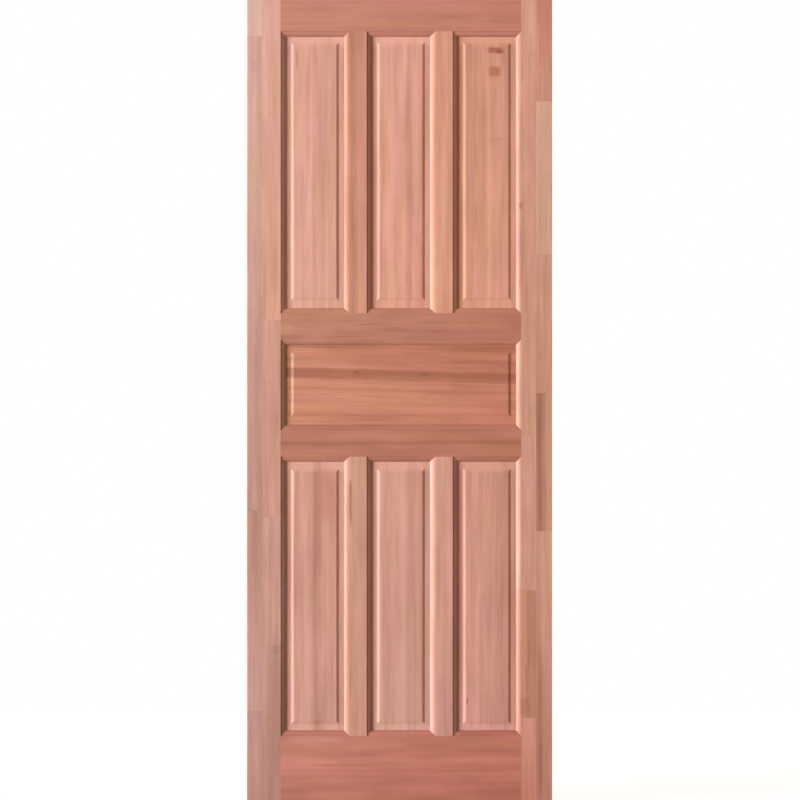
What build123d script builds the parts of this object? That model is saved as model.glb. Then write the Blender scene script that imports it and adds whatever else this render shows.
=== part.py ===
from build123d import *
import os

# Leaf in millimetres: X from hinge edge to lock edge, Y from front face to back face, Z up
leaf_width = 800.0
leaf_height = 2100.0
leaf_thickness = 35.0
edge_round = 1.5

# Frame members, measured to the sight lines where the panels begin to show
left_stile_width = 102.0
right_stile_width = 94.5
mullion_width = 72.5
top_rail_width = 98.0
upper_lock_rail_width = 96.5
lower_lock_rail_width = 97.5
bottom_rail_width = 184.0
upper_opening_height = 711.0
middle_opening_height = 209.0

# Moulding on every inner edge: a quirk, an ovolo that starts level with the face, and a lip
moulding_width = 13.5
quirk_depth = 2.0
lip_land = 0.6

# Raised panels, alike on both faces, floating in grooves
tongue_thickness = 16.0
panel_clearance = 0.3
groove_depth = 14.0
panel_gap = 2.5
side_margin = 13.5
upper_head_margin = 14.5
upper_foot_margin = 20.5
wide_head_margin = 18.5
wide_foot_margin = 21.0
lower_head_margin = 18.5
lower_foot_margin = 17.0
step_width = 7.0
step_rise = 2.6
field_round = 2.0

# Each stile is two strips glued edge to edge, and each strip is finger-jointed blocks
outer_strip_width = 42.0
finger_length = 10.0
finger_pitch = 5.0

# Block lengths counted up from the bottom and down from the top; one block fills what is left
left_outer_blocks_up = [236.0, 362.0, 163.0]
left_outer_blocks_down = [97.0]
left_inner_blocks_up = [742.0]
left_inner_blocks_down = [840.0]
right_outer_blocks_up = []
right_outer_blocks_down = [268.0, 399.0, 365.0, 362.0]
right_inner_blocks_up = [217.0, 335.0, 404.0]
right_inner_blocks_down = []

# Sight lines
inner_low = left_stile_width
inner_high = leaf_width - right_stile_width
panel_opening_width = (inner_high - inner_low - 2 * mullion_width) / 3
left_mullion_x = inner_low + panel_opening_width
right_mullion_x = inner_high - panel_opening_width - mullion_width
top_rail_z = leaf_height - top_rail_width
upper_opening_z = top_rail_z - upper_opening_height
upper_lock_rail_z = upper_opening_z - upper_lock_rail_width
middle_opening_z = upper_lock_rail_z - middle_opening_height
lower_lock_rail_z = middle_opening_z - lower_lock_rail_width

# Depths below the face
groove_width = tongue_thickness + 2 * panel_clearance
ovolo_drop = (leaf_thickness - groove_width) / 2 - quirk_depth - lip_land


# What the moulding takes off one corner, drawn with that corner at the origin
def moulding_waste():
    quirk_foot = (-moulding_width, quirk_depth)
    lip = (0, quirk_depth + ovolo_drop)
    square = Polyline(lip, (0, 0), (-moulding_width, 0), quirk_foot)
    return make_face(square + TangentArc(quirk_foot, lip, tangent=(1, 0)))


# Section of a member lying between 0 and its width, moulded and grooved on the far edge or on both
def member_section(width, both_edges=False):
    front = Pos(width, -leaf_thickness / 2) * moulding_waste()
    groove = Pos(width - groove_depth / 2, 0) * Rectangle(groove_depth, groove_width)
    section = Pos(width / 2, 0) * Rectangle(width, leaf_thickness)
    for cut in (front, mirror(front, about=Plane.XZ), groove):
        section -= cut
        if both_edges:
            section -= mirror(cut, about=Plane.YZ.offset(width / 2))
    return section


# Section of a stile, its outer arrises eased
def stile_section(width):
    section = member_section(width)
    return fillet(section.vertices().group_by(Axis.X)[0], edge_round)


def upright(section, x, low, high):
    return extrude(Pos(x, 0, low) * section, amount=high - low, dir=(0, 0, 1))


def level(section, z, low, high):
    plane = Plane(origin=(low, 0, z), x_dir=(0, 0, 1), z_dir=(1, 0, 0))
    return extrude(plane * section, amount=high - low, dir=(1, 0, 0))


# Zigzag of a finger joint across the thickness, its roots on both faces at the given height
def finger_line(height):
    fingers = max(1, round(leaf_thickness / finger_pitch))
    half_pitch = leaf_thickness / (2 * fingers)
    points = []
    for i in range(2 * fingers + 1):
        points.append((-leaf_thickness / 2 + i * half_pitch, height + finger_length * (i % 2)))
    return points


# Cuts a strip into blocks along finger joints, from the bottom up
def finger_jointed(strip, lengths_up, lengths_down):
    seams = []
    for i in range(len(lengths_up)):
        seams.append(sum(lengths_up[: i + 1]))
    for i in range(len(lengths_down), 0, -1):
        seams.append(leaf_height - sum(lengths_down[:i]))
    lines = [[(-leaf_thickness / 2, 0), (leaf_thickness / 2, 0)]]
    lines += [finger_line(seam) for seam in seams]
    lines.append([(-leaf_thickness / 2, leaf_height), (leaf_thickness / 2, leaf_height)])
    blocks = []
    for below, above in zip(lines, lines[1:]):
        outline = make_face(Polyline(*below, *reversed(above), close=True))
        blocks.append(strip & extrude(Plane.YZ * outline, amount=leaf_width, dir=(1, 0, 0)))
    return blocks


# Section through a raised panel: thin tongue and margin, a sloped step, then the thicker field
def raised_section(tongue_low, field_low, field_high, tongue_high):
    margin_level = tongue_thickness / 2
    field_level = margin_level + step_rise
    upper = [
        (tongue_low, margin_level),
        (field_low - step_width, margin_level),
        (field_low, field_level),
        (field_high, field_level),
        (field_high + step_width, margin_level),
        (tongue_high, margin_level),
    ]
    lower = [(along, -depth) for along, depth in reversed(upper)]
    return make_face(Polyline(*upper, *lower, close=True))


# A panel stands on the floor of the groove below it and has room to swell at its sides and top
def raised_panel(x_low, x_high, z_low, z_high, foot_margin, head_margin):
    reach = groove_depth - panel_gap
    side_inset = side_margin + step_width
    foot_inset = foot_margin + step_width
    head_inset = head_margin + step_width
    across = raised_section(x_low - reach, x_low + side_inset, x_high - side_inset, x_high + reach)
    along = raised_section(z_low - groove_depth, z_low + foot_inset, z_high - head_inset, z_high + reach)
    panel = upright(across, 0, 0, leaf_height) & level(along, 0, 0, leaf_width)
    fields = panel.faces().sort_by(Axis.Y)
    return fillet(fields[0].edges() + fields[-1].edges(), field_round)


parts = {}

# Stiles
left_stile = upright(stile_section(left_stile_width), 0, 0, leaf_height)
right_stile = upright(stile_section(right_stile_width), 0, 0, leaf_height)
right_stile = mirror(right_stile, about=Plane.YZ.offset(leaf_width / 2))
outer_slab = Box(outer_strip_width, leaf_thickness, leaf_height, align=(Align.MIN, Align.CENTER, Align.MIN))
left_slab = outer_slab
right_slab = Pos(leaf_width - outer_strip_width, 0, 0) * outer_slab
strips = {
    "left_stile_outer": (left_stile & left_slab, left_outer_blocks_up, left_outer_blocks_down),
    "left_stile_inner": (left_stile - left_slab, left_inner_blocks_up, left_inner_blocks_down),
    "right_stile_outer": (right_stile & right_slab, right_outer_blocks_up, right_outer_blocks_down),
    "right_stile_inner": (right_stile - right_slab, right_inner_blocks_up, right_inner_blocks_down),
}
for name, (strip, lengths_up, lengths_down) in strips.items():
    for number, block in enumerate(finger_jointed(strip, lengths_up, lengths_down), start=1):
        parts[f"{name}_block_{number}"] = block

# Rails, run on into the stiles and coped over them, with stub tenons that fill the stiles' grooves
blank_reach = moulding_width + groove_depth
rail_low = inner_low - blank_reach
rail_high = inner_high + blank_reach
top_section = mirror(member_section(top_rail_width), about=Plane.YZ.offset(top_rail_width / 2))
rails = {
    "top_rail": (top_section, top_rail_z),
    "upper_lock_rail": (member_section(upper_lock_rail_width, both_edges=True), upper_lock_rail_z),
    "lower_lock_rail": (member_section(lower_lock_rail_width, both_edges=True), lower_lock_rail_z),
    "bottom_rail": (member_section(bottom_rail_width), 0),
}
for name, (section, z) in rails.items():
    parts[name] = level(section, z, rail_low, rail_high) - left_stile - right_stile

# Mullions, coped over the rails' moulding in the same way
mullion_section = member_section(mullion_width, both_edges=True)
storeys = {
    "upper": (parts["upper_lock_rail"], parts["top_rail"], upper_opening_z, top_rail_z),
    "lower": (parts["bottom_rail"], parts["lower_lock_rail"], bottom_rail_width, lower_lock_rail_z),
}
for storey, (rail_below, rail_above, low, high) in storeys.items():
    for side, x in (("left", left_mullion_x), ("right", right_mullion_x)):
        blank = upright(mullion_section, x, low - blank_reach, high + blank_reach)
        parts[f"{storey}_{side}_mullion"] = blank - rail_below - rail_above

# Panels
columns = {
    "left": inner_low,
    "middle": left_mullion_x + mullion_width,
    "right": right_mullion_x + mullion_width,
}
for column, x in columns.items():
    x_end = x + panel_opening_width
    parts[f"upper_{column}_panel"] = raised_panel(
        x, x_end, upper_opening_z, top_rail_z, upper_foot_margin, upper_head_margin
    )
    parts[f"lower_{column}_panel"] = raised_panel(
        x, x_end, bottom_rail_width, lower_lock_rail_z, lower_foot_margin, lower_head_margin
    )
parts["wide_panel"] = raised_panel(
    inner_low, inner_high, middle_opening_z, upper_lock_rail_z, wide_foot_margin, wide_head_margin
)

os.makedirs("parts", exist_ok=True)
for name, part in parts.items():
    export_step(part, f"parts/{name}.step")
print(f"{len(parts)} pieces written")
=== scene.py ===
import bpy
import math
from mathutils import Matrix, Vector


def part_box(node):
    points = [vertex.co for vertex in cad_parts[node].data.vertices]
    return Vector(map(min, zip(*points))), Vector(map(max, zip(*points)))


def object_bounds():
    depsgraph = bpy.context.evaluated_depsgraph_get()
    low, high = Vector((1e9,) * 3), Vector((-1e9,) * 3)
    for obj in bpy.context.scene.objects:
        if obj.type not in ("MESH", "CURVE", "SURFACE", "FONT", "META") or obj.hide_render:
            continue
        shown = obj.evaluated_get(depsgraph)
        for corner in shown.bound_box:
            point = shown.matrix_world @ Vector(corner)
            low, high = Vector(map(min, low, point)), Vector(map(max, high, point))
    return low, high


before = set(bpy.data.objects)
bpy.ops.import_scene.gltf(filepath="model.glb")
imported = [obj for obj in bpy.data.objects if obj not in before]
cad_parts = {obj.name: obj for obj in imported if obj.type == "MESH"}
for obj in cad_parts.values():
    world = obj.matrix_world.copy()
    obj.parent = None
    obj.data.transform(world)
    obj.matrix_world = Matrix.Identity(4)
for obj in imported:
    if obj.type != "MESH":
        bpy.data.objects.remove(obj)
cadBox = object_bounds()
print("frame:", len(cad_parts), "pieces loaded")


def hexToLinear(text):
    channels = [int(text[i:i + 2], 16) / 255 for i in (1, 3, 5)]
    linear = [c / 12.92 if c <= 0.04045 else ((c + 0.055) / 1.055) ** 2.4 for c in channels]
    return (*linear, 1.0)


def addNode(tree, kind, settings=None, inputs=None):
    node = tree.nodes.new(kind)
    for key, value in (settings or {}).items():
        setattr(node, key, value)
    for key, value in (inputs or {}).items():
        if isinstance(value, bpy.types.Node):
            value = value.outputs[0]
        if isinstance(value, bpy.types.NodeSocket):
            tree.links.new(value, node.inputs[key])
        else:
            node.inputs[key].default_value = value
    return node


def newMaterial(name):
    material = bpy.data.materials.new(name)
    material.use_nodes = True
    material.node_tree.nodes.clear()
    return material, material.node_tree


# 1 where the camera sees a surface, straight or by reflection, and 0 where it only lights others
def seenByCamera(tree):
    rays = addNode(tree, "ShaderNodeLightPath")
    seen = rays.outputs["Is Camera Ray"]
    for ray in ("Is Glossy Ray", "Is Transmission Ray"):
        seen = addNode(tree, "ShaderNodeMath", {"operation": "MAXIMUM"}, {0: seen, 1: rays.outputs[ray]})
    return seen


# Sanded eucalyptus, unfinished: pink to tan hardwood with wandering streaks, fine open pores and a
# low silky gloss. Sizes are real millimetres across and along the grain.
wood = {
    "wander": (3.0, 70.0, 600.0),      # how far a streak strays sideways, and over what sizes
    "layers": {                        # across, along, detail
        "ribbon": (14.0, 320.0, 2.0),  # interlocked grain, seen as soft ribbons
        "mottle": (9.0, 60.0, 1.0),    # short soft flecks of figure
        "patch": (36.0, 180.0, 1.0),   # broad clouds, paler and darker
        "fibre": (5.0, 260.0, 3.0),    # drawn coarser than real fibres, which are too fine to show
        "streak": (4.0, 80.0, 2.0),    # thin gum lines
        "pore": (1.3, 13.0, 1.0),      # pores are about 0.2 mm wide, drawn wider so that they show
        "hue": (18.0, 260.0, 2.0),     # patches that lean to pink or to tan
    },
    "layerRoughness": 0.55,
    "boardShift": (17.3, 5.1, 9.7),    # moves the patterns on from one board to the next
    "layerShift": 3.7,                 # and from one layer to the next
    "spans": {                         # noise levels where a layer begins and where it is full
        "streak": (0.56, 0.72),
        "pore": (0.58, 0.74),
        "hue": (0.35, 0.65),
    },
    "middles": {                       # each layer's mean, taken off so that a board keeps its tone
        "ring": 0.25, "ribbon": 0.5, "mottle": 0.5, "patch": 0.5, "fibre": 0.5, "streak": 0.1, "pore": 0.1,
    },
    "meanTone": 0.4,
    "toneSwing": (0.46, 0.56, 0.62),   # how far full dark falls below full pale, per channel
    "tanTint": (0.98, 1.02, 0.90),
    "pinkTint": (1.03, 0.98, 1.09),
    "markDepth": 15.0,                 # how far knots and stains reach in from the front
    "markFray": 0.8,                   # how far the fibres pull a mark's edge about
    "markEdge": (1.8, 0.7),            # where a mark fades out and where it is full
    # Darkening of faces that look sideways: partly the real darker end grain, partly painted shade against
    # the strong key light on the edges
    "cutGrainAndShadeTint": 0.72,
    "cutGrainAndShadeSpan": (0.4, 0.15),            # how far a face looks to front or back: begins to be cut, fully cut
    "rough": (0.45, 0.58),
    "roughSpan": (0.3, 0.7),           # fibre noise levels at the smooth end and the rough end
    "specular": 0.3,
    "fibreRelief": 0.5,                # fibres stand up half as far as pores go down
    "bumpStrength": 0.6,
    "bumpHeight": 0.00012,
}
mmPerMetre = 1000

plainBoard = {
    "stripes": [(0.0, 0.4), (1.0, 0.4)],  # place across the board, tone from pale 0 to dark 1
    "runs": [(0.0, 0.4), (1.0, 0.4)],     # place along the board, tone added to the stripes; 0.4 adds none
    "ribbon": 1.0,
    "mottle": 0.2,
    "patch": 0.65,
    "fibre": 0.26,
    "streak": 0.15,
    "pore": 0.12,
    "ring": 0.15,
    "ringPitch": 8.0,        # mm from one growth ring to the next
    "pith": (160.0, 70.0),   # how far off the pith lies, across and into the board
    "hue": 0.8,
    "lean": 0.0,             # slope of the grain
    "marks": [],             # across and along from the middle in mm, half sizes, strength, colour
}


def boardMaterial(name, board, low, high, level):
    spec = {**plainBoard, **board}
    shift = [step * len(bpy.data.materials) for step in wood["boardShift"]]
    material, tree = newMaterial(name)
    centre = mmPerMetre / 2 * (low + high)
    size = mmPerMetre * (high - low)
    width = size.z if level else size.x
    length = size.x if level else size.z
    # Board space in millimetres: X across the grain, Y into the thickness, Z along the grain
    coords = addNode(tree, "ShaderNodeTexCoord")
    place = addNode(tree, "ShaderNodeMapping", None, {
        "Vector": coords.outputs["Object"], "Scale": (mmPerMetre,) * 3,
        "Rotation": (0, math.pi / 2, 0) if level else (0, 0, 0),
        "Location": (-centre.z, -centre.y, centre.x) if level else tuple(-centre)})
    straight = addNode(tree, "ShaderNodeSeparateXYZ", None, {"Vector": place})

    # The grain wanders, and leans where the board was cut askew
    stray, overAcross, overAlong = wood["wander"]
    wide = addNode(tree, "ShaderNodeMapping", None, {
        "Vector": place, "Scale": (1 / overAcross, 1 / overAcross, 1 / overAlong),
        "Location": shift})
    bend = addNode(tree, "ShaderNodeTexNoise", None, {"Vector": wide, "Scale": 1.0})
    # The noise keeps to its middle half, so its reach is doubled
    bendMm = addNode(tree, "ShaderNodeMapRange", None, {
        "Value": bend, "To Min": -2 * stray, "To Max": 2 * stray})
    askew = addNode(tree, "ShaderNodeMath", {"operation": "MULTIPLY_ADD"}, {
        0: straight.outputs["Z"], 1: -spec["lean"], 2: bendMm})
    sideways = addNode(tree, "ShaderNodeCombineXYZ", None, {"X": askew})
    grain = addNode(tree, "ShaderNodeVectorMath", {"operation": "ADD"}, {0: place, 1: sideways})
    split = addNode(tree, "ShaderNodeSeparateXYZ", None, {"Vector": grain})

    layers = {}
    for number, (layer, (across, along, detail)) in enumerate(wood["layers"].items()):
        stretched = addNode(tree, "ShaderNodeMapping", None, {
            "Vector": grain, "Scale": (1 / across, 1 / across, 1 / along),
            "Location": (shift[0] + wood["layerShift"] * number, *shift[1:])})
        layers[layer] = addNode(tree, "ShaderNodeTexNoise", None, {
            "Vector": stretched, "Scale": 1.0, "Detail": detail,
            "Roughness": wood["layerRoughness"]})
    fibre = layers["fibre"]
    for layer in ("streak", "pore"):
        start, full = wood["spans"][layer]
        layers[layer] = addNode(tree, "ShaderNodeMapRange", {"interpolation_type": "SMOOTHSTEP"}, {
            "Value": layers[layer], "From Min": start, "From Max": full})

    # Growth rings about a pith that lies outside the board
    fromPith = addNode(tree, "ShaderNodeVectorMath", {"operation": "ADD"}, {
        0: grain, 1: (*spec["pith"], 0.0)})
    flat = addNode(tree, "ShaderNodeVectorMath", {"operation": "MULTIPLY"}, {
        0: fromPith, 1: (1 / spec["ringPitch"], 1 / spec["ringPitch"], 0.0)})
    rings = addNode(tree, "ShaderNodeVectorMath", {"operation": "LENGTH"}, {0: flat}).outputs["Value"]
    ringPart = addNode(tree, "ShaderNodeMath", {"operation": "FRACT"}, {0: rings})
    ringIndex = addNode(tree, "ShaderNodeMath", {"operation": "FLOOR"}, {0: rings})
    ringDark = addNode(tree, "ShaderNodeTexWhiteNoise", {"noise_dimensions": "1D"}, {"W": ringIndex})
    layers["ring"] = addNode(tree, "ShaderNodeMath", {"operation": "MULTIPLY"}, {
        0: ringPart, 1: ringDark.outputs["Value"]})

    # Broad stripes that this board shows from edge to edge and end to end, with finer layers over them
    acrossPart = addNode(tree, "ShaderNodeMapRange", None, {
        "Value": split.outputs["X"], "From Min": -width / 2, "From Max": width / 2})
    alongPart = addNode(tree, "ShaderNodeMapRange", None, {
        "Value": straight.outputs["Z"], "From Min": -length / 2, "From Max": length / 2})
    for layer, part in (("stripes", acrossPart), ("runs", alongPart)):
        layers[layer] = addNode(tree, "ShaderNodeValToRGB", None, {"Fac": part})
        ramp = layers[layer].color_ramp
        ramp.interpolation = "EASE"
        while len(ramp.elements) < len(spec[layer]):
            ramp.elements.new(1.0)
        for element, (position, tone) in zip(ramp.elements, spec[layer]):
            element.position = position
            element.color = (tone, tone, tone, 1.0)
    tone = layers["stripes"]
    swings = [("runs", wood["meanTone"], 1.0)]
    swings += [(layer, middle, spec[layer]) for layer, middle in wood["middles"].items()]
    for layer, middle, amount in swings:
        swing = addNode(tree, "ShaderNodeMath", {"operation": "SUBTRACT"}, {0: layers[layer], 1: middle})
        tone = addNode(tree, "ShaderNodeMath", {"operation": "MULTIPLY_ADD"}, {
            0: swing, 1: amount, 2: tone})
    tone.use_clamp = True

    # Colour runs from one end of the board to the other: partly the wood's own tone, partly painted light,
    # the key light's slight fall-off that leaves the left ends of level boards paler
    base = addNode(tree, "ShaderNodeMix", {"data_type": "RGBA"}, {
        0: alongPart, 6: hexToLinear(spec["start"]), 7: hexToLinear(spec["end"])})
    shade = addNode(tree, "ShaderNodeMix", {"data_type": "RGBA"}, {
        0: tone, 6: (*[1 + wood["meanTone"] * s for s in wood["toneSwing"]], 1.0),
        7: (*[1 + (wood["meanTone"] - 1) * s for s in wood["toneSwing"]], 1.0)})
    start, full = wood["spans"]["hue"]
    huePart = addNode(tree, "ShaderNodeMapRange", None, {
        "Value": layers["hue"], "From Min": start, "From Max": full})
    tint = addNode(tree, "ShaderNodeMix", {"data_type": "RGBA"}, {
        0: huePart, 6: (*wood["tanTint"], 1.0), 7: (*wood["pinkTint"], 1.0)})
    colour = base.outputs[2]
    for amount, factor in ((1.0, shade), (spec["hue"], tint)):
        colour = addNode(tree, "ShaderNodeMix", {"data_type": "RGBA", "blend_type": "MULTIPLY"}, {
            0: amount, 6: colour, 7: factor.outputs[2]}).outputs[2]

    # Knots, gum streaks and stains
    fadeOut, fullIn = wood["markEdge"]
    for markAcross, markAlong, halfAcross, halfAlong, strength, markHex in spec["marks"]:
        offset = addNode(tree, "ShaderNodeVectorMath", {"operation": "SUBTRACT"}, {
            0: place, 1: (markAcross, -size.y / 2, markAlong)})
        scaled = addNode(tree, "ShaderNodeVectorMath", {"operation": "MULTIPLY"}, {
            0: offset, 1: (1 / halfAcross, 1 / wood["markDepth"], 1 / halfAlong)})
        squared = addNode(tree, "ShaderNodeVectorMath", {"operation": "MULTIPLY"}, {0: scaled, 1: scaled})
        distance = addNode(tree, "ShaderNodeVectorMath", {"operation": "LENGTH"}, {0: squared})
        frayed = addNode(tree, "ShaderNodeMath", {"operation": "MULTIPLY_ADD"}, {
            0: fibre, 1: wood["markFray"], 2: distance.outputs["Value"]})
        mask = addNode(tree, "ShaderNodeMapRange", {"interpolation_type": "SMOOTHSTEP"}, {
            "Value": frayed, "From Min": fadeOut, "From Max": fullIn, "To Max": strength})
        colour = addNode(tree, "ShaderNodeMix", {"data_type": "RGBA"}, {
            0: mask, 6: colour, 7: hexToLinear(markHex)}).outputs[2]

    # End grain and sawn edges, which face away from front and back, are darkened: partly the real darker
    # look of cut wood, partly painted shade that tones down the key light falling on them nearly square on
    facing = addNode(tree, "ShaderNodeSeparateXYZ", None, {"Vector": coords.outputs["Normal"]})
    faceOn = addNode(tree, "ShaderNodeMath", {"operation": "ABSOLUTE"}, {0: facing.outputs["Y"]})
    cutGrainAndShadePart = addNode(tree, "ShaderNodeMapRange", None, {
        "Value": faceOn, "From Min": wood["cutGrainAndShadeSpan"][0], "From Max": wood["cutGrainAndShadeSpan"][1]})
    colour = addNode(tree, "ShaderNodeMix", {"data_type": "RGBA", "blend_type": "MULTIPLY"}, {
        0: cutGrainAndShadePart, 6: colour, 7: (*[wood["cutGrainAndShadeTint"]] * 3, 1.0)}).outputs[2]

    rough = addNode(tree, "ShaderNodeMapRange", None, {
        "Value": fibre, "From Min": wood["roughSpan"][0], "From Max": wood["roughSpan"][1],
        "To Min": wood["rough"][0], "To Max": wood["rough"][1]})
    pits = addNode(tree, "ShaderNodeMath", {"operation": "MULTIPLY"}, {0: layers["pore"], 1: -1.0})
    relief = addNode(tree, "ShaderNodeMath", {"operation": "MULTIPLY_ADD"}, {
        0: fibre, 1: wood["fibreRelief"], 2: pits})
    bump = addNode(tree, "ShaderNodeBump", None, {
        "Height": relief, "Strength": wood["bumpStrength"], "Distance": wood["bumpHeight"]})
    shader = addNode(tree, "ShaderNodeBsdfPrincipled", None, {
        "Base Color": colour, "Roughness": rough, "Specular IOR Level": wood["specular"], "Normal": bump})
    addNode(tree, "ShaderNodeOutputMaterial", None, {"Surface": shader})
    return material


def dressBoard(node, board, level=False):
    low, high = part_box(node)
    material = boardMaterial("sanded eucalyptus " + node.replace("_", " "), board, low, high, level)
    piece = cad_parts[node]
    piece.data.materials.clear()
    piece.data.materials.append(material)


# Rails, grain from side to side; start is the right end, stripes run from the lower edge up; their paler
# left ends are partly painted light fall-off from the key
railGrain = {"ribbon": 0.7, "mottle": 0.35, "patch": 0.8, "fibre": 0.16, "streak": 0.08, "pore": 0.06}
topRail = {**railGrain, "start": "#BE7A65", "end": "#C4846E", "ribbon": 0.35, "fibre": 0.08, "patch": 0.6,
           "stripes": [(0.0, 0.4), (0.9, 0.42), (0.955, 0.55), (0.975, 0.3), (1.0, 0.3)]}
upperLockRail = {**railGrain, "start": "#B6745E", "end": "#BD8269", "patch": 1.1,
                 "stripes": [(0.0, 0.45), (0.1, 0.4), (0.35, 0.5), (0.45, 0.42), (0.65, 0.44), (0.75, 0.36),
                             (1.0, 0.3)],
                 "marks": [(-8, 305, 14, 26, 0.6, "#C59170"), (5, 88, 2, 40, 0.35, "#9A5E48")]}
lowerLockRail = {**railGrain, "start": "#B3715A", "end": "#B67760",
                 "stripes": [(0.0, 0.4), (0.4, 0.38), (0.5, 0.65), (0.6, 0.38), (1.0, 0.4)]}
bottomRail = {**railGrain, "start": "#B36A57", "end": "#C27C69",
              "ribbon": 0.35, "mottle": 0.2, "patch": 1.2, "fibre": 0.05,
              "stripes": [(0.0, 0.5), (0.27, 0.5), (0.41, 0.25), (0.5, 0.42), (0.585, 0.15), (0.64, 0.4),
                          (0.75, 0.45), (0.95, 0.3)],
              "marks": [(64, -181, 14, 90, 0.35, "#B57660"), (51, -81, 5, 75, 0.4, "#A86A54"),
                        (41, -225, 6, 85, 0.5, "#A06450"), (1, 154, 4, 75, 0.35, "#A5614F"),
                        (6, 294, 20, 16, 0.45, "#D27C74"), (68, 227, 9, 80, 0.5, "#CC9284")]}
dressBoard("top_rail", topRail, level=True)
dressBoard("upper_lock_rail", upperLockRail, level=True)
dressBoard("lower_lock_rail", lowerLockRail, level=True)
dressBoard("bottom_rail", bottomRail, level=True)
print("rails dressed")

# Mullions, grain upright; start is the foot, stripes run from left to right
upperLeftMullion = {"start": "#CC8E74", "end": "#C68871",
                    "stripes": [(0.2, 0.6), (0.3, 0.6), (0.45, 0.45), (0.54, 0.24), (0.7, 0.25),
                                (0.8, 0.36)]}
upperRightMullion = {"start": "#DA9A7C", "end": "#D6957D",
                     "stripes": [(0.2, 0.36), (0.55, 0.37), (0.7, 0.56), (0.8, 0.46)], "patch": 0.3}
lowerLeftMullion = {"start": "#C9917B", "end": "#CC957E",
                    "stripes": [(0.2, 0.5), (0.3, 0.35), (0.5, 0.4), (0.8, 0.45)],
                    "marks": [(-19, 241, 4, 56, 0.55, "#9A6A54"), (-20, 285, 3, 18, 0.4, "#8F6652"),
                              (-20, -232, 1.3, 43, 0.5, "#9A6A54")]}
lowerRightMullion = {"start": "#C99281", "end": "#D39983",
                     "stripes": [(0.2, 0.25), (0.27, 0.42), (0.8, 0.43)]}
dressBoard("upper_left_mullion", upperLeftMullion)
dressBoard("upper_right_mullion", upperRightMullion)
dressBoard("lower_left_mullion", lowerLeftMullion)
dressBoard("lower_right_mullion", lowerRightMullion)
print("mullions dressed")

# Panels, paler at their heads, the lower ones also at their feet; only the wide one's grain lies level
upperEnds = {"runs": [(0.0, 0.4), (0.945, 0.4), (0.97, 0.0), (1.0, 0.0)]}
lowerEnds = {"runs": [(0.0, 0.15), (0.03, 0.15), (0.05, 0.4), (0.94, 0.4), (0.96, 0.0), (1.0, 0.0)]}
upperLeftPanel = {**upperEnds, "start": "#D9A08A", "end": "#D69C87",
                  "stripes": [(0.2, 0.2), (0.33, 0.27), (0.4, 0.38), (0.44, 0.3), (0.5, 0.52), (0.56, 0.43),
                              (0.63, 0.4), (0.8, 0.45)],
                  "marks": [(-46, 296, 4, 28, 0.45, "#A97864"), (3, 296, 3, 18, 0.3, "#B98670")]}
upperMiddlePanel = {**upperEnds, "start": "#DB9C83", "end": "#D79A86",
                    "stripes": [(0.2, 0.35), (0.37, 0.23), (0.48, 0.38), (0.56, 0.42), (0.6, 0.64),
                                (0.64, 0.64), (0.68, 0.45), (0.74, 0.42), (0.8, 0.56)]}
upperRightPanel = {**upperEnds, "start": "#D39579", "end": "#CC8F75",
                   "stripes": [(0.2, 0.4), (0.29, 0.48), (0.33, 0.4), (0.45, 0.43), (0.515, 0.2),
                               (0.57, 0.38), (0.8, 0.42)],
                   "marks": [(22, 322, 21, 8, 0.95, "#A9654F"), (34, 318, 9, 5, 0.7, "#8E4C3A"),
                             (20, 266, 16, 14, 0.95, "#B87252"), (25, 88, 24, 3, 0.35, "#B98468")]}
# The wide panel's dark stripe along its head edge (at 0.95) is painted shadow, the soft shade under the
# upper lock rail
widePanel = {"start": "#BD765C", "end": "#C78569", "lean": 0.025,
             "fibre": 0.2, "mottle": 0.2, "streak": 0.25,
             "stripes": [(0.1, 0.3), (0.15, 0.45), (0.24, 0.2), (0.3, 0.35), (0.38, 0.25), (0.44, 0.4),
                         (0.49, 0.2), (0.53, 0.25), (0.57, 1.0), (0.63, 1.0), (0.68, 0.35), (0.75, 0.6),
                         (0.82, 0.33), (0.86, 0.35), (0.95, 0.8)],
             "marks": [(33, 117, 5, 9, 0.5, "#8A4A38"), (28, -61, 5, 12, 0.35, "#8A4A38")]}
lowerLeftPanel = {**lowerEnds, "start": "#CC9583", "end": "#D09783",
                  "stripes": [(0.2, 0.3), (0.25, 0.4), (0.33, 0.2), (0.4, 0.17), (0.45, 0.46), (0.515, 0.85),
                              (0.57, 0.72), (0.64, 0.38), (0.8, 0.42)],
                  "marks": [(43, -174, 1.2, 50, 0.35, "#A8705E"), (30, 265, 30, 70, 0.5, "#C2826A")]}
lowerMiddlePanel = {**lowerEnds, "start": "#CB9585", "end": "#CF9682",
                    "stripes": [(0.2, 0.12), (0.25, 0.43), (0.33, 0.37), (0.44, 0.24), (0.56, 0.28),
                                (0.62, 0.57), (0.75, 0.48), (0.8, 0.58)], "patch": 0.35}
lowerRightPanel = {**lowerEnds, "start": "#C88E7C", "end": "#C88E78",
                   "stripes": [(0.2, 0.15), (0.28, 0.32), (0.34, 0.22), (0.45, 0.33), (0.6, 0.45),
                               (0.7, 0.56), (0.8, 0.57)],
                   "marks": [(-51, -274, 1.6, 9, 0.7, "#6E3B33"), (-5, -238, 1.5, 45, 0.35, "#A87362")]}
dressBoard("upper_left_panel", upperLeftPanel)
dressBoard("upper_middle_panel", upperMiddlePanel)
dressBoard("upper_right_panel", upperRightPanel)
dressBoard("wide_panel", widePanel, level=True)
dressBoard("lower_left_panel", lowerLeftPanel)
dressBoard("lower_middle_panel", lowerMiddlePanel)
dressBoard("lower_right_panel", lowerRightPanel)
print("panels dressed")

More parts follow.
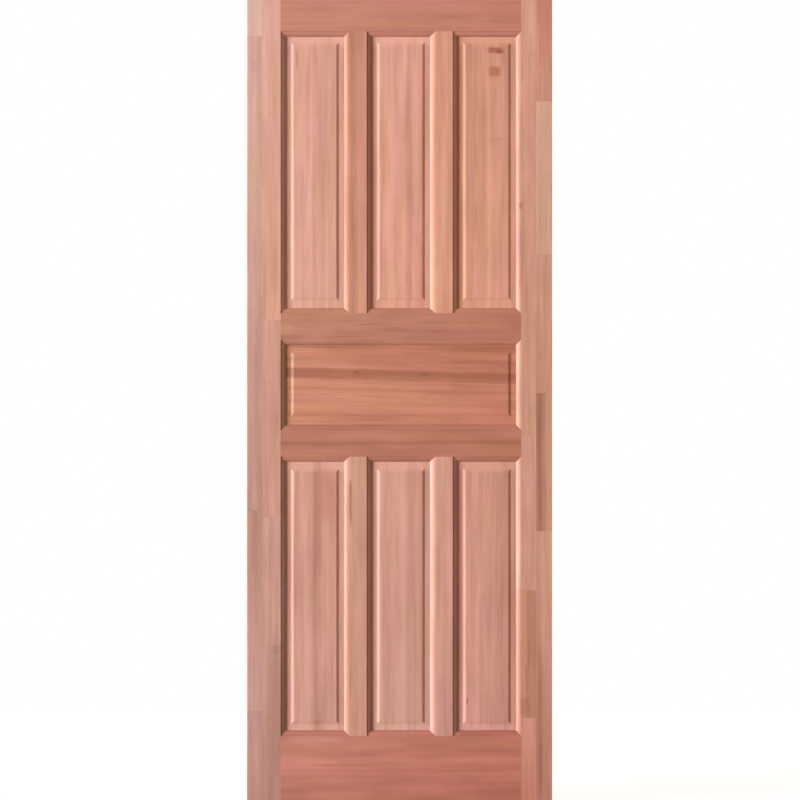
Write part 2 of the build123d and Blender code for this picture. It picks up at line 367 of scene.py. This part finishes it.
# Stile blocks, from the foot up
leftOuterStrip = {"blocks": [
    {"start": "#BC897A", "end": "#C59687", "stripes": [(0.0, 0.22), (0.2, 0.3), (0.5, 0.38), (1.0, 0.48)]},
    {"start": "#C69888", "end": "#C19180", "stripes": [(0.0, 0.25), (0.14, 0.28), (0.22, 0.38), (1.0, 0.46)],
     "runs": [(0.3, 0.4), (0.62, 0.22), (0.85, 0.38)]},
    {"start": "#B98774", "end": "#B68975", "stripes": [(0.0, 0.25), (0.15, 0.25), (0.35, 0.46), (0.65, 0.44),
                                                       (1.0, 0.26)]},
    {"start": "#BF917E", "end": "#D9A998",
     "stripes": [(0.0, 0.28), (0.5, 0.36), (0.65, 0.48), (0.72, 0.56), (0.8, 0.54), (1.0, 0.42)],
     "marks": [(-4, 540, 9, 20, 0.25, "#B0846F")]},
    {"start": "#DEB0A2", "end": "#D9AD9D", "patch": 0.3}]}
leftInnerStrip = {"blocks": [
    {"start": "#B78475", "end": "#C99785", "runs": [(0.4, 0.4), (0.62, 0.16), (0.85, 0.36)],
     "marks": [(4, -131, 14, 180, 0.4, "#9F7062"), (4, 20, 14, 14, 0.35, "#9F7062")]},
    {"start": "#CA9381", "end": "#CF9982"}, {"start": "#D69B83", "end": "#DDA695"}]}
rightOuterStrip = {"blocks": [
    {"start": "#B47965", "end": "#C8927B", "stripes": [(0.0, 0.6), (0.15, 0.6), (0.38, 0.4), (1.0, 0.32)],
     "marks": [(-10, -156, 7, 200, 0.5, "#9C6650"), (-9, -270, 4, 85, 0.45, "#9A5643")]},
    {"start": "#BA826C", "end": "#B68068",
     "stripes": [(0.0, 0.85), (0.28, 0.9), (0.45, 0.7), (0.55, 0.55), (0.68, 0.1), (1.0, 0.05)],
     "marks": [(-11, 0, 3, 170, 0.5, "#8E5A47")]},
    {"start": "#C1876C", "end": "#C8917A", "runs": [(0.3, 0.4), (0.62, 0.22), (0.85, 0.36)]},
    {"start": "#D09B85", "end": "#D09D85", "patch": 0.3},
    {"start": "#C78B73", "end": "#C2816A", "stripes": [(0.0, 0.34), (0.35, 0.36), (0.5, 0.5), (1.0, 0.45)]}]}
rightInnerStrip = {"blocks": [
    {"start": "#C07A66", "end": "#CB8976"},
    {"start": "#B27960", "end": "#B77E66", "stripes": [(0.0, 0.1), (0.45, 0.1), (0.54, 0.45), (1.0, 0.48)],
     "marks": [(7, -10, 1.3, 45, 0.5, "#8C5A46"), (1, -70, 1.3, 34, 0.5, "#8C5A46"),
               (-2, -140, 14, 24, 0.35, "#A0624C")]},
    {"start": "#C8927E", "end": "#CD947E", "stripes": [(0.2, 0.38), (0.5, 0.5), (0.7, 0.4), (1.0, 0.3)]},
    {"start": "#C58E74", "end": "#CD937C", "patch": 1.0, "mottle": 0.35,
     "marks": [(-15, 31, 5, 9, 0.6, "#A85E48")]}]}
for strip, spec in (("left_stile_outer", leftOuterStrip), ("left_stile_inner", leftInnerStrip),
                    ("right_stile_outer", rightOuterStrip), ("right_stile_inner", rightInnerStrip)):
    for number, block in enumerate(spec["blocks"], start=1):
        dressBoard(f"{strip}_block_{number}", block)
print("stiles dressed")

# Floor: pale, white to the camera, with the leaf's soft shadow kept on it
floorSpec = {"size": 6.0, "gap": 0.008, "paleHex": "#E8E6E2", "shadowShare": 0.5, "glow": 0.85}
bpy.ops.object.select_all(action="DESELECT")
middle = (Vector(cadBox[0]) + Vector(cadBox[1])) / 2
bpy.ops.mesh.primitive_plane_add(size=floorSpec["size"], location=(middle.x, middle.y, -floorSpec["gap"]))
floor = bpy.context.object
floor.name = "studio_floor"
floor.visible_shadow = False  # lets the low, wide light reach the foot of the leaf evenly
floorMaterial, tree = newMaterial("pale studio floor")
seen = seenByCamera(tree)
glow = addNode(tree, "ShaderNodeMath", {"operation": "MULTIPLY"}, {0: seen, 1: floorSpec["glow"]})
shine = addNode(tree, "ShaderNodeEmission", None, {"Strength": glow})
paint = addNode(tree, "ShaderNodeBsdfDiffuse", None, {
    "Color": (*[c * floorSpec["shadowShare"] for c in hexToLinear(floorSpec["paleHex"])[:3]], 1.0)})
both = addNode(tree, "ShaderNodeAddShader", None, {0: shine, 1: paint})
addNode(tree, "ShaderNodeOutputMaterial", None, {"Surface": both})
floor.data.materials.append(floorMaterial)
print("floor laid")

# Soft light: a broad key from the left for each face of the leaf, and a low even fill
lightSpec = {"fromNormal": 65.0, "rise": 2.0, "spread": 22.0, "strength": 6.2, "keyHex": "#F1F7FF",
             "fill": 0.26, "fillHex": "#FFE4C6", "away": 4.0}
for name, heading in (("front_key", 0.0), ("back_key", 180.0)):
    lamp = bpy.data.lights.new(name, "SUN")
    lamp.energy = lightSpec["strength"]
    lamp.color = hexToLinear(lightSpec["keyHex"])[:3]
    lamp.angle = math.radians(lightSpec["spread"])
    holder = bpy.data.objects.new(name, lamp)
    turn = math.radians(heading - lightSpec["fromNormal"])
    rise = math.radians(lightSpec["rise"])
    toLamp = Vector((math.sin(turn) * math.cos(rise), -math.cos(turn) * math.cos(rise), math.sin(rise)))
    holder.rotation_euler = toLamp.to_track_quat("Z", "Y").to_euler()
    holder.location = middle + lightSpec["away"] * toLamp
    bpy.context.scene.collection.objects.link(holder)

world = bpy.data.worlds.new("white studio")
bpy.context.scene.world = world
world.use_nodes = True
tree = world.node_tree
tree.nodes.clear()
seen = seenByCamera(tree)
brightness = addNode(tree, "ShaderNodeMapRange", None, {
    "Value": seen, "To Min": lightSpec["fill"], "To Max": 1.0})
hue = addNode(tree, "ShaderNodeMix", {"data_type": "RGBA"}, {
    0: seen, 6: hexToLinear(lightSpec["fillHex"]), 7: (1, 1, 1, 1)})
sky = addNode(tree, "ShaderNodeBackground", None, {"Color": hue.outputs[2], "Strength": brightness})
addNode(tree, "ShaderNodeOutputWorld", None, {"Surface": sky})
print("lights set")

# Camera: square on, long lens, the leaf filling the frame's height
cameraSpec = {"distance": 10.0, "sensor": 36.0, "aside": 0.0013, "overfill": 1.002}
view = bpy.data.cameras.new("photo_view")
view.sensor_width = cameraSpec["sensor"]
leafHeight = cadBox[1][2] - cadBox[0][2]
view.lens = cameraSpec["overfill"] * cameraSpec["sensor"] * cameraSpec["distance"] / leafHeight
camera = bpy.data.objects.new("photo_view", view)
camera.location = (middle.x + cameraSpec["aside"], cadBox[0][1] - cameraSpec["distance"], middle.z)
camera.rotation_euler = (math.pi / 2, 0, 0)
bpy.context.scene.collection.objects.link(camera)
bpy.context.scene.camera = camera
bpy.context.scene.view_settings.view_transform = "Standard"
print("camera set")
